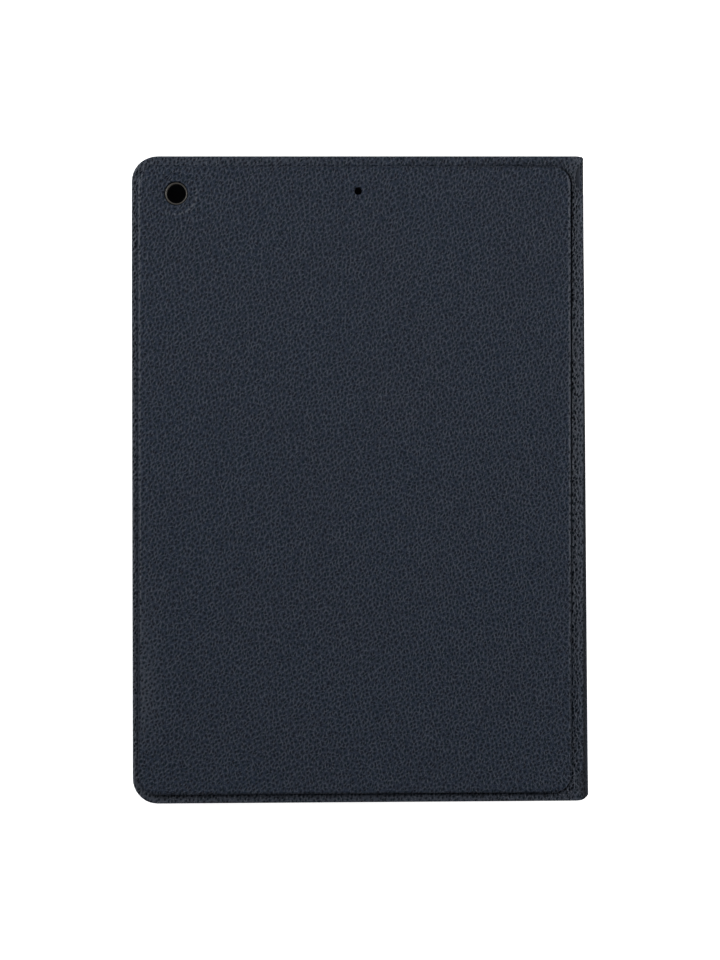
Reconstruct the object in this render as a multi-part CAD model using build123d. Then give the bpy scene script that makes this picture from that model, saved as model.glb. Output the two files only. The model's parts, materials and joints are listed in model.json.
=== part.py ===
# Tablet keyboard case: a leather-covered folio, closed, lying on its front cover.
# Frame: X along the spine, Y from the opening edge (-Y) to the spine (+Y), Z up, origin at the centre of the underside.
# Stack from the floor up: front cover, keyboard, tablet tray (mouth down), rear cover, easel stand panel.
# All lengths are millimetres.
from build123d import *
import os

os.makedirs("parts", exist_ok=True)

# ---------------------------------------------------------------- driving dimensions
LENGTH = 262.7          # along the spine
DEPTH = 184.2           # opening edge to the outer face of the spine
HEIGHT = 22.8           # closed

TABLET = (250.6, 174.1, 7.5)   # the tablet the pocket is made for
POCKET_GAP = 0.2        # round the tablet, each side
POCKET_CORNER = 10.0

SKIN = 0.8              # outer leather
LINING = 0.4            # microfibre
FRONT_BOARD = 1.6
BORDER = 3.4            # flat leather border outside the board
COVER_CORNER = 10.3     # the two corners away from the spine
HINGE_Y = 91.1          # both living hinges, on the spine side
HINGE_OFFSET = 2.4      # from the outer face of each cover to its hinge line

KEY_PITCH = 16.2
KEY_GAP = 2.4           # between keycaps
KEY_CLEAR = 0.4         # round a keycap in its hole
KEY_TRAVEL = 1.2
FN_PITCH = 10.2         # the half-height row
UNITS = 14.5            # keys across

CAMERA = (-116.2, -74.2)       # centre of the camera window
CAMERA_HOLE_R = 4.9
CAMERA_RIM_R = (4.5, 3.7)      # outer, inner
CAMERA_DISH_R = 8.3
MIC = (-117.0, 0.0)
MIC_HOLE_R = 1.55

X1 = LENGTH / 2
Y1 = DEPTH / 2

# ---------------------------------------------------------------- heights
Z_FRONT_BORDER = HINGE_OFFSET - SKIN            # 1.6
Z_FRONT_LINING = HINGE_OFFSET                   # 2.4
Z_FRONT_INSIDE = Z_FRONT_LINING + LINING        # 2.8
Z_KB = Z_FRONT_INSIDE + 0.1                     # 2.9, on its mounting tape
Z_DECK_LOW, Z_DECK = 7.1, 7.9
Z_KEYTOP = 9.2
Z_TRAY = 9.8                                    # lips
LIP = 1.0
Z_POCKET = (Z_TRAY + LIP, Z_TRAY + LIP + TABLET[2] + 0.3)   # 10.8, 18.6
Z_TRAY_TOP = Z_POCKET[1] + 1.2                  # 19.8
Z_REAR_LINING = Z_TRAY_TOP
Z_REAR_SKIN = Z_REAR_LINING + LINING            # 20.2
Z_REAR_BORDER = Z_REAR_SKIN + SKIN              # 21.0
Z_STAND = Z_REAR_BORDER + 0.1                   # 21.1
STAND_LINING, STAND_BOARD, STAND_SKIN = 0.3, 0.8, 0.6
Z_LOW_HINGE = HINGE_OFFSET                      # 2.4
Z_HIGH_HINGE = HEIGHT - HINGE_OFFSET            # 20.4

# ---------------------------------------------------------------- helpers


def slab(x0, x1, y0, y1, z0, z1, near=0.0, far=0.0):
    """A plate with rounded corners: near is the radius at the y0 side, far at the y1 side."""
    s = Rectangle(x1 - x0, y1 - y0)
    if near:
        s = fillet(s.vertices().group_by(Axis.Y)[0], near)
    if far:
        s = fillet(s.vertices().group_by(Axis.Y)[-1], far)
    return extrude(Pos((x0 + x1) / 2, (y0 + y1) / 2, z0) * s, z1 - z0)


def disc(x, y, z0, z1, r):
    return Pos(x, y, (z0 + z1) / 2) * Cylinder(r, z1 - z0)


def brick(x0, x1, y0, y1, z0, z1):
    return Pos((x0 + x1) / 2, (y0 + y1) / 2, (z0 + z1) / 2) * Box(x1 - x0, y1 - y0, z1 - z0)


def save(name, shape):
    solids = shape.solids() if hasattr(shape, "solids") else shape
    export_step(Compound(children=list(solids)) if len(solids) > 1 else solids[0], f"parts/{name}.step")


def save_group(name, shapes):
    solids = [s for shape in shapes for s in shape.solids()]
    export_step(Compound(children=solids), f"parts/{name}.step")


# ---------------------------------------------------------------- front cover (under the keyboard)
END = HINGE_Y - 0.2      # the covers stop just short of their hinge line
PANEL_X = X1 - BORDER    # outline of the front board
PANEL_Y = (-Y1 + 2.4, 86.7)
front_panel = (-PANEL_X, PANEL_X, PANEL_Y[0], PANEL_Y[1])

front_skin = slab(-X1, X1, -Y1, END, Z_FRONT_BORDER, Z_FRONT_LINING, COVER_CORNER)
front_skin += slab(*front_panel, 0, Z_FRONT_LINING, 7.3, 5.3)
front_skin -= slab(front_panel[0] + SKIN, front_panel[1] - SKIN, front_panel[2] + SKIN, front_panel[3] - SKIN, SKIN, Z_FRONT_LINING, 6.5, 4.5)
save("front_cover_skin", front_skin)

front_board = slab(front_panel[0] + SKIN, front_panel[1] - SKIN, front_panel[2] + SKIN, front_panel[3] - SKIN, SKIN, Z_FRONT_LINING, 6.5, 4.5)
MAGNET_X = 60.0
front_magnets = []
for sx in (-1, 1):
    m = brick(sx * MAGNET_X - 12, sx * MAGNET_X + 12, -88.3, -85.3, 1.0, Z_FRONT_LINING)
    front_board -= m
    front_magnets.append(m)
save("front_cover_board", front_board)
save_group("front_closing_magnets", front_magnets)
save("front_cover_lining", slab(-X1, X1, -Y1, END, Z_FRONT_LINING, Z_FRONT_INSIDE, COVER_CORNER))

# ---------------------------------------------------------------- spine
save("spine_skin", brick(-X1, X1, Y1 - SKIN, Y1, 3.4, 19.5))
save("spine_board", brick(-X1 + 2.5, X1 - 2.5, Y1 - 1.6, Y1 - SKIN, 4.2, 18.7))
save("spine_lining", brick(-X1, X1, Y1 - 2.0, Y1 - 1.6, 3.4, 19.5))

# ---------------------------------------------------------------- keyboard housing
KX = 123.0
KY = (-87.0, 35.0)
STRIP_Y = 28.0           # middle of the electronics strip behind the keys
WALL = 1.5
FLOOR = 0.8
FIELD_X = UNITS * KEY_PITCH / 2              # 117.45
FIELD_Y1 = 21.0
FIELD_Y0 = FIELD_Y1 - FN_PITCH - 5 * KEY_PITCH   # -70.2
GRID = (-FIELD_X - 1.0, FIELD_X + 1.0, FIELD_Y0 - 1.0, FIELD_Y1 + 1.0)

bottom_case = slab(-KX, KX, *KY, Z_KB, Z_DECK_LOW, 6.0, 6.0)
bottom_case = chamfer(bottom_case.faces().sort_by(Axis.Z)[0].edges(), 0.4)
bottom_case -= slab(-KX + WALL, KX - WALL, KY[0] + WALL, KY[1] - WALL, Z_KB + FLOOR, Z_DECK_LOW, 4.5, 4.5)
SCREWS = [(-118.0, 30.0), (-40.0, STRIP_Y), (30.0, STRIP_Y), (103.0, STRIP_Y), (-118.0, -80.0), (118.0, -80.0), (-72.0, -80.0), (72.0, -80.0)]
for x, y in SCREWS:
    bottom_case -= disc(x, y, Z_KB, Z_KB + 0.5, 1.7)
    bottom_case -= disc(x, y, Z_KB, Z_KB + FLOOR, 0.9)
# charging socket and switch slot in the +X wall, support plate ledge round the inside
PORT_Y, PORT_Z = 27.0, 5.5
bottom_case -= brick(KX - 8.0, KX + 0.5, PORT_Y - 4.6, PORT_Y + 4.6, PORT_Z - 1.45, PORT_Z + 1.45)
SWITCH_Y = (7.5, 13.5)
bottom_case -= brick(KX - WALL - 0.5, KX + 0.5, SWITCH_Y[0], SWITCH_Y[1], 4.9, 6.4)
# posts that carry the support plate
POSTS = [(x, y) for x in (-112.0, -56.0, 0.0, 56.0, 112.0) for y in (-62.0, -24.0, 14.0)]
for x, y in POSTS:
    bottom_case += disc(x, y, Z_KB + FLOOR, 4.6, 2.0)
save("keyboard_bottom_case", bottom_case)

top_frame = slab(-KX, KX, *KY, Z_DECK_LOW, Z_DECK, 6.0, 6.0)
top_frame = fillet(top_frame.faces().sort_by(Axis.Z)[-1].edges(), 0.5)
top_frame -= brick(GRID[0], GRID[1], GRID[2], GRID[3], Z_DECK_LOW - 1, Z_DECK + 1)
for x, y in SCREWS:
    top_frame += disc(x, y, Z_KB + FLOOR, Z_DECK_LOW, 2.1)
    top_frame -= disc(x, y, Z_KB + FLOOR, Z_DECK_LOW - 0.4, 0.75)
BUTTON = (88.0, STRIP_Y)
top_frame -= brick(BUTTON[0] - 3.15, BUTTON[0] + 3.15, BUTTON[1] - 1.4, BUTTON[1] + 1.4, Z_DECK_LOW - 1, Z_DECK + 1)
LIGHTS = [(62.0, STRIP_Y), (68.0, STRIP_Y), (74.0, STRIP_Y)]
for x, y in LIGHTS:
    top_frame -= brick(x - 1.0, x + 1.0, y - 0.5, y + 0.5, Z_DECK_LOW - 1, Z_DECK + 1)
save("keyboard_top_frame", top_frame)
save_group("status_light_windows", [brick(x - 1.0, x + 1.0, y - 0.5, y + 0.5, Z_DECK_LOW, Z_DECK) for x, y in LIGHTS])
save_group("keyboard_screws", [disc(x, y, Z_KB, Z_KB + 0.5, 1.5) + disc(x, y, Z_KB + 0.5, Z_KB + 3.2, 0.7) for x, y in SCREWS])
save_group("mounting_tape", [brick(-110, 110, y - 7.5, y + 7.5, Z_FRONT_INSIDE, Z_KB) for y in (-68.0, -28.0, 12.0)])
save_group("screen_bumpers", [disc(x, y, Z_DECK, Z_DECK + 1.4, 2.5) for x in (-118.5, 118.5) for y in (-82.5, 30.5)])

# ---------------------------------------------------------------- keys
U, H = KEY_PITCH, KEY_PITCH
rows = [
    # name of row, centre y, height, widths in units, node for each key
    ("fn", FIELD_Y1 - FN_PITCH / 2, FN_PITCH, [UNITS / 14] * 14, ["keys_function_row"] * 14),
    ("number", FIELD_Y1 - FN_PITCH - 0.5 * H, H, [1] * 13 + [1.5], ["keys_number_row"] * 13 + ["key_backspace"]),
    ("top", FIELD_Y1 - FN_PITCH - 1.5 * H, H, [1.5] + [1] * 13, ["key_tab"] + ["keys_top_letter_row"] * 13),
    ("home", FIELD_Y1 - FN_PITCH - 2.5 * H, H, [1.75] + [1] * 11 + [1.75], ["key_caps_lock"] + ["keys_home_letter_row"] * 11 + ["key_return"]),
    ("low", FIELD_Y1 - FN_PITCH - 3.5 * H, H, [2.25] + [1] * 10 + [2.25], ["key_shift_left"] + ["keys_bottom_letter_row"] * 10 + ["key_shift_right"]),
    ("space", FIELD_Y1 - FN_PITCH - 4.5 * H, H, [1, 1, 1, 1.25, 5, 1.25, 1, 1, 1, 1],
     ["keys_left_modifiers"] * 4 + ["key_space"] + ["keys_right_modifiers"] * 2 + ["key_arrow_left", "arrows", "key_arrow_right"]),
]
caps = {}       # node: list of (x0, x1, y0, y1)
for _, yc, h, widths, nodes in rows:
    x = -FIELD_X
    for w, node in zip(widths, nodes):
        x0, x1 = x + KEY_GAP / 2, x + w * U - KEY_GAP / 2
        y0, y1 = yc - h / 2 + KEY_GAP / 2, yc + h / 2 - KEY_GAP / 2
        if node == "arrows":
            mid = (y0 + y1) / 2
            caps.setdefault("key_arrow_down", []).append((x0, x1, y0, mid - 0.5))
            caps.setdefault("key_arrow_up", []).append((x0, x1, mid + 0.5, y1))
        else:
            caps.setdefault(node, []).append((x0, x1, y0, y1))
        x += w * U

key_grid = brick(*GRID, Z_DECK_LOW, Z_DECK)
holes = []
arrow_down, arrow_up = caps["key_arrow_down"][0], caps["key_arrow_up"][0]
for node, boxes in caps.items():
    for x0, x1, y0, y1 in boxes:
        if node in ("key_arrow_down", "key_arrow_up"):
            continue
        holes.append(slab(x0 - KEY_CLEAR, x1 + KEY_CLEAR, y0 - KEY_CLEAR, y1 + KEY_CLEAR, Z_DECK_LOW - 1, Z_DECK + 1, 1.8, 1.8))
holes.append(slab(arrow_down[0] - KEY_CLEAR, arrow_down[1] + KEY_CLEAR, arrow_down[2] - KEY_CLEAR, arrow_up[3] + KEY_CLEAR, Z_DECK_LOW - 1, Z_DECK + 1, 1.8, 1.8))
key_grid -= holes
save("key_grid", key_grid)

Z_STEM = 7.2
domes = []
for node, boxes in caps.items():
    made = []
    for x0, x1, y0, y1 in boxes:
        cap = slab(x0, x1, y0, y1, Z_DECK - 0.3, Z_KEYTOP, 1.4, 1.4)
        cap = fillet(cap.faces().sort_by(Axis.Z)[-1].edges(), 0.35)
        cx, cy = (x0 + x1) / 2, (y0 + y1) / 2
        cap += brick(cx - 2.0, cx + 2.0, cy - 1.6, cy + 1.6, Z_STEM, Z_DECK - 0.3)
        made.append(cap)
        domes.append((cx, cy))
    save_group(node, made)

# support plate, membrane circuit and dome sheet under the keys
PLATE = (-FIELD_X - 0.5, FIELD_X + 0.5, FIELD_Y0 - 0.5, FIELD_Y1 + 0.5)
save("key_support_plate", brick(*PLATE, 4.6, 5.0))
save("membrane_circuit", brick(PLATE[0] + 0.5, PLATE[1] - 0.5, PLATE[2] + 0.5, PLATE[3] - 0.5, 5.0, 5.2))
dome_sheet = brick(PLATE[0] + 0.5, PLATE[1] - 0.5, PLATE[2] + 0.5, PLATE[3] - 0.5, 5.2, 5.35)
dome_sheet += [brick(cx - 2.2, cx + 2.2, cy - 1.8, cy + 1.8, 5.35, 5.8) for cx, cy in domes]
save("dome_sheet", dome_sheet)

# electronics in the margins
save("battery_pack", brick(-60, 60, -84.5, -72.5, 3.8, 6.7))
pcb = brick(44.0, 120.0, 22.9, 31.0, 3.75, 4.35) - disc(103.0, STRIP_Y, 3, 5, 2.3)
save("keyboard_pcb", pcb)
port = brick(KX - 7.6, KX - 0.1, PORT_Y - 4.4, PORT_Y + 4.4, 4.35, 6.65)
port -= brick(KX - 7.0, KX + 1, PORT_Y - 4.1, PORT_Y + 4.1, 4.65, 6.35)
port += brick(KX - 7.0, KX - 1.6, PORT_Y - 3.2, PORT_Y + 3.2, 5.2, 5.8)
save("charging_socket", port)
# power switch: a nub in the slot of the +X wall, with its carrier inside
switch = brick(KX - WALL - 0.9, KX + 0.6, SWITCH_Y[0] + 0.3, SWITCH_Y[0] + 3.3, 5.1, 6.2)
switch += brick(KX - WALL - 1.5, KX - WALL - 0.2, SWITCH_Y[0] - 0.8, SWITCH_Y[0] + 4.4, 4.75, 6.55)
save("power_switch", switch)
button = brick(BUTTON[0] - 2.9, BUTTON[0] + 2.9, BUTTON[1] - 1.15, BUTTON[1] + 1.15, Z_DECK_LOW - 0.6, Z_DECK + 0.4)
button += brick(BUTTON[0] - 3.8, BUTTON[0] + 3.8, BUTTON[1] - 1.9, BUTTON[1] + 1.9, Z_DECK_LOW - 0.7, Z_DECK_LOW - 0.1)
save("pairing_button", button)

# ---------------------------------------------------------------- tablet tray (one moulding, mouth down)
PX, PY = TABLET[0] / 2 + POCKET_GAP, TABLET[1] / 2 + POCKET_GAP      # 125.5, 87.25
TX = PX + 1.4
TY = (-PY - 3.0, PY + 1.25)
tray = slab(-TX, TX, *TY, Z_TRAY, Z_TRAY_TOP, 11.4, 11.2)
tray = fillet(tray.faces().sort_by(Axis.Z)[0].edges(), 0.45)
tray -= slab(-PX, PX, -PY, PY, Z_POCKET[0], Z_POCKET[1], POCKET_CORNER, POCKET_CORNER)
# the mouth leaves a lip 1.2 wide at the corners and at the middle of each side, and is flush with the pocket elsewhere
LIP_W = 1.2
mouth = slab(-PX + LIP_W, PX - LIP_W, -PY + LIP_W, PY - LIP_W, Z_TRAY - 1, Z_POCKET[0], POCKET_CORNER, POCKET_CORNER)
for x0, x1 in ((-100.0, -14.0), (14.0, 100.0)):
    mouth += brick(x0, x1, -PY, PY, Z_TRAY - 1, Z_POCKET[0])
for y0, y1 in ((-62.0, -12.0), (12.0, 62.0)):
    mouth += brick(-PX, PX, y0, y1, Z_TRAY - 1, Z_POCKET[0])
tray -= mouth
# openings in the walls for the tablet's controls and sockets
CUT_Z = (Z_POCKET[0] + 0.6, Z_POCKET[1] - 0.6)
PORT_CUT = (-9.0, 9.0)
SPEAKER_CUTS = ((-58.0, -34.0), (34.0, 58.0))
POWER_CUT = (-74.0, -56.0)
JACK_CUT = (64.0, 74.0)
VOLUME_CUT = (-106.0, -78.0)
tray -= brick(PX - 1, TX + 1, *PORT_CUT, *CUT_Z)
for a, b in SPEAKER_CUTS:
    tray -= brick(PX - 1, TX + 1, a, b, *CUT_Z)
tray -= brick(-TX - 1, -PX + 1, *POWER_CUT, *CUT_Z)
tray -= brick(-TX - 1, -PX + 1, *JACK_CUT, *CUT_Z)
tray -= brick(*VOLUME_CUT, TY[0] - 1, -PY + 1, *CUT_Z)
# camera and microphone holes, magnet pockets
tray -= disc(*CAMERA, Z_POCKET[1] - 1, Z_TRAY_TOP + 1, CAMERA_RIM_R[0] + 0.02)
tray -= disc(*MIC, Z_POCKET[1] - 1, Z_TRAY_TOP + 1, MIC_HOLE_R)
STAND_MAGNETS = [(-95.0, 70.0), (-32.0, 70.0), (32.0, 70.0), (95.0, 70.0)]
keepers = [disc(x, y, Z_TRAY_TOP - 0.8, Z_TRAY_TOP, 4.0) for x, y in STAND_MAGNETS]
tray_magnets = [brick(sx * MAGNET_X - 12, sx * MAGNET_X + 12, -89.8, -88.0, Z_TRAY + 0.8, Z_TRAY + 5.8) for sx in (-1, 1)]
tray -= keepers
tray -= tray_magnets
save("tablet_tray", tray)
save_group("stand_keeper_magnets", keepers)
save_group("tray_closing_magnets", tray_magnets)
save_group("tray_grip_pads", [brick(x - 15, x + 15, y - 3, y + 3, Z_POCKET[1] - 0.2, Z_POCKET[1]) for x in (-85.0, 85.0) for y in (-55.0, 55.0)])
rim = disc(*CAMERA, Z_POCKET[1], HEIGHT - 0.55, CAMERA_RIM_R[0]) - disc(*CAMERA, Z_POCKET[1] - 1, HEIGHT, CAMERA_RIM_R[1])
save("camera_rim", rim)

# ---------------------------------------------------------------- rear cover sheet
def with_holes(shape, z0, z1, r=CAMERA_HOLE_R):
    return shape - disc(*CAMERA, z0 - 1, z1 + 1, r) - disc(*MIC, z0 - 1, z1 + 1, MIC_HOLE_R)


save("rear_cover_lining", with_holes(slab(-X1, X1, -Y1, END, Z_REAR_LINING, Z_REAR_SKIN, COVER_CORNER), Z_REAR_LINING, Z_REAR_SKIN))
save("rear_cover_skin", with_holes(slab(-X1, X1, -Y1, END, Z_REAR_SKIN, Z_REAR_BORDER, COVER_CORNER), Z_REAR_SKIN, Z_REAR_BORDER))

# ---------------------------------------------------------------- easel stand panel on the back
SX = X1 - BORDER
SY = (-89.7, 86.7)
stand_skin = slab(-SX, SX, *SY, Z_STAND, HEIGHT, 7.3, 5.3)
stand_skin = chamfer(stand_skin.faces().sort_by(Axis.Z)[-1].edges(), 0.45)
stand_skin -= slab(-SX + STAND_SKIN, SX - STAND_SKIN, SY[0] + STAND_SKIN, SY[1] - STAND_SKIN, Z_STAND - 1, HEIGHT - STAND_SKIN, 6.7, 4.7)
stand_skin = with_holes(stand_skin, Z_STAND, HEIGHT)
stand_skin -= disc(*CAMERA, HEIGHT - 0.25, HEIGHT + 1, CAMERA_DISH_R)
save("stand_skin", stand_skin)
inner = (-SX + STAND_SKIN, SX - STAND_SKIN, SY[0] + STAND_SKIN, SY[1] - STAND_SKIN)
stand_board = with_holes(slab(*inner, Z_STAND + STAND_LINING, HEIGHT - STAND_SKIN, 6.7, 4.7), Z_STAND, HEIGHT)
stand_magnets = [disc(x, y, Z_STAND + STAND_LINING, HEIGHT - STAND_SKIN, 4.0) for x, y in STAND_MAGNETS]
stand_board -= stand_magnets
save("stand_board", stand_board)
save_group("stand_magnets", stand_magnets)
save("stand_lining", with_holes(slab(*inner, Z_STAND, Z_STAND + STAND_LINING, 6.7, 4.7), Z_STAND, HEIGHT))
save("stand_hinge_strip", brick(-SX + 12, SX - 12, -91.0, -90.05, Z_REAR_BORDER, Z_REAR_BORDER + 0.2))
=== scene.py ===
import bpy, bmesh, json, math
import numpy as np
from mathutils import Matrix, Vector
from mathutils.geometry import delaunay_2d_cdt


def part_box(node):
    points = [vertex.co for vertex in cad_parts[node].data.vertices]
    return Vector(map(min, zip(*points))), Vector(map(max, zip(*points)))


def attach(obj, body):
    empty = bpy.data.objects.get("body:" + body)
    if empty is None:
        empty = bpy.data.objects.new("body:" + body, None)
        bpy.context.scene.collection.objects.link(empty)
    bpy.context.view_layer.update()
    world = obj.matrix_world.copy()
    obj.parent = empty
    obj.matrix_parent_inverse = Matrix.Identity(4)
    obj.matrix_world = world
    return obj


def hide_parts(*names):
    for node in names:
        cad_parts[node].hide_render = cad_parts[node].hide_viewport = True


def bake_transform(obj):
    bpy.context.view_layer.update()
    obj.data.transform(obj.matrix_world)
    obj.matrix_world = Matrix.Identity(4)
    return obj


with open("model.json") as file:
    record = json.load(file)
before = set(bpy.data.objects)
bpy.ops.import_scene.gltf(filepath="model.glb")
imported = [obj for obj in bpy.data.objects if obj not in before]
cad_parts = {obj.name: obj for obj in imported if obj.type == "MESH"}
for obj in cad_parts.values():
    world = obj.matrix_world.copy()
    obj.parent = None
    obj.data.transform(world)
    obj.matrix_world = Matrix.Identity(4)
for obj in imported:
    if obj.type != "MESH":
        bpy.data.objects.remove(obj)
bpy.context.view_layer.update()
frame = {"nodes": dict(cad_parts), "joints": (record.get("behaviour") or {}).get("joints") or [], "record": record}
N = frame["nodes"]
MM = 0.001


def mm(node):
    """A node's box in millimetres: (x0, y0, z0), (x1, y1, z1)."""
    lo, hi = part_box(node)
    return [round(v * 1000, 3) for v in lo], [round(v * 1000, 3) for v in hi]


# ------------------------------------------------------------------ sizes, most from the imported nodes, in mm
lo, hi = mm("rear_cover_skin")
X1, YN, Z_RIM_IN, Z_BORDER = hi[0], lo[1], lo[2], hi[2]        # 131.35, -92.1, 20.2, 21.0
LOWER = mm("front_cover_skin")
Z_FBORDER, Z_FIN = 1.6, mm("front_cover_lining")[1][2]          # outer face of the front border, inner face of the front lining
Z_LIN = mm("rear_cover_lining")[0][2]                           # 19.8
YS = mm("spine_skin")[1][1]                                     # 92.1
YSI = mm("spine_lining")[0][1]                                  # 90.1
ZH = (2.4, 20.4)                                                # hinge lines
for j in frame["joints"]:
    if j["name"] == "front_fold":
        ZH = (j["pos_m"][2] * 1000, ZH[1])
    if j["name"] == "rear_fold":
        ZH = (ZH[0], j["pos_m"][2] * 1000)
ZMID = (ZH[0] + ZH[1]) / 2
slo, shi = mm("stand_skin")
rlo, rhi = mm("camera_rim")
CAM = ((rlo[0] + rhi[0]) / 2, (rlo[1] + rhi[1]) / 2)
CAM_R = 4.85
EYE = (CAM[0] + 0.15, CAM[1] + 0.28)                             # the opening as it sits in the leather
MIC = (-117.0, 0.0)
MIC_R = 1.55
PANEL = (-X1 + 3.4, X1 - 3.4, YN + 2.4, 86.7)                   # front cover's raised panel


# ------------------------------------------------------------------ mesh helpers
def ring(x0, x1, y0, y1, near, far, inset, far_inset, us, vs, n=9):
    """Closed counter-clockwise loop round a rectangle with rounded corners, with the same number of points at every inset."""
    pts = []

    def corner(cx, cy, r, a0):
        if r is None:
            pts.append((cx, cy))
            return
        rr = max(r - inset, 0.04)
        for i in range(n + 1):
            a = math.radians(a0 + 90.0 * i / n)
            pts.append((cx + rr * math.cos(a), cy + rr * math.sin(a)))

    pts += [(u, y0 + inset) for u in us]
    if near:
        corner(x1 - near, y0 + near, near, -90)
    else:
        corner(x1 - inset, y0 + inset, None, 0)
    pts += [(x1 - inset, v) for v in vs]
    if far:
        corner(x1 - far, y1 - far, far, 0)
    else:
        corner(x1 - inset, y1 - far_inset, None, 0)
    fi = inset if far else far_inset
    pts += [(u, y1 - fi) for u in reversed(us)]
    if far:
        corner(x0 + far, y1 - far, far, 90)
    else:
        corner(x0 + inset, y1 - far_inset, None, 0)
    pts += [(x0 + inset, v) for v in reversed(vs)]
    if near:
        corner(x0 + near, y0 + near, near, 180)
    else:
        corner(x0 + inset, y0 + inset, None, 0)
    return pts


def sd_rrect(u, v, x0, x1, y0, y1, near, far):
    """Signed distance to a rounded rectangle, negative inside."""
    u, v = np.asarray(u, float), np.asarray(v, float)
    cx, cy = (x0 + x1) / 2, (y0 + y1) / 2
    r = np.where(v < cy, near, far)
    qx = np.abs(u - cx) - ((x1 - x0) / 2 - r)
    qy = np.abs(v - cy) - ((y1 - y0) / 2 - r)
    return np.minimum(np.maximum(qx, qy), 0) + np.hypot(np.maximum(qx, 0), np.maximum(qy, 0)) - r


def spread(a, b, step, dense=()):
    """Positions from a to b about step apart, without the ends; dense holds (from, to, step) ranges."""
    out, x = [], a
    while x < b - 1e-6:
        s = step
        for d0, d1, ds in dense:
            if d0 - 1e-6 <= x < d1:
                s = ds
            elif x < d0 < x + s:
                s = d0 - x
        x += s
        out.append(x)
    while out and out[-1] > b - 0.35 * min(step, 1.0):
        out.pop()
    return out


def circle(c, r, n):
    return [(c[0] + r * math.cos(2 * math.pi * i / n), c[1] + r * math.sin(2 * math.pi * i / n)) for i in range(n)]


def cap(boundary, holes, loops, pts, keep):
    """Triangles over a region: boundary and holes are loops, loops and pts are extra points. Returns points and triangles."""
    co, edges = [], []

    def add_loop(loop):
        a = len(co)
        co.extend(loop)
        edges.extend((a + i, a + (i + 1) % len(loop)) for i in range(len(loop)))

    add_loop(boundary)
    for h in holes:
        add_loop(h)
    for l in loops:
        add_loop(l)
    co.extend(pts)
    out = delaunay_2d_cdt([Vector(c) for c in co], edges, [], 0, 1e-7)
    ov, of_, orig = out[0], out[2], out[3]
    where = [o[0] if o else None for o in orig]
    if any(w is None for w in where):
        raise RuntimeError("a cap's loops cross")
    tris = []
    for f in of_:
        c = sum((ov[i] for i in f), Vector((0, 0))) / len(f)
        if keep(c.x, c.y):
            tris.append([where[i] for i in f])
    return co, tris


def inside(loop, x, y):
    hit, n = False, len(loop)
    j = n - 1
    for i in range(n):
        xi, yi = loop[i]
        xj, yj = loop[j]
        if (yi > y) != (yj > y) and x < (xj - xi) * (y - yi) / (yj - yi) + xi:
            hit = not hit
        j = i
    return hit


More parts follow.
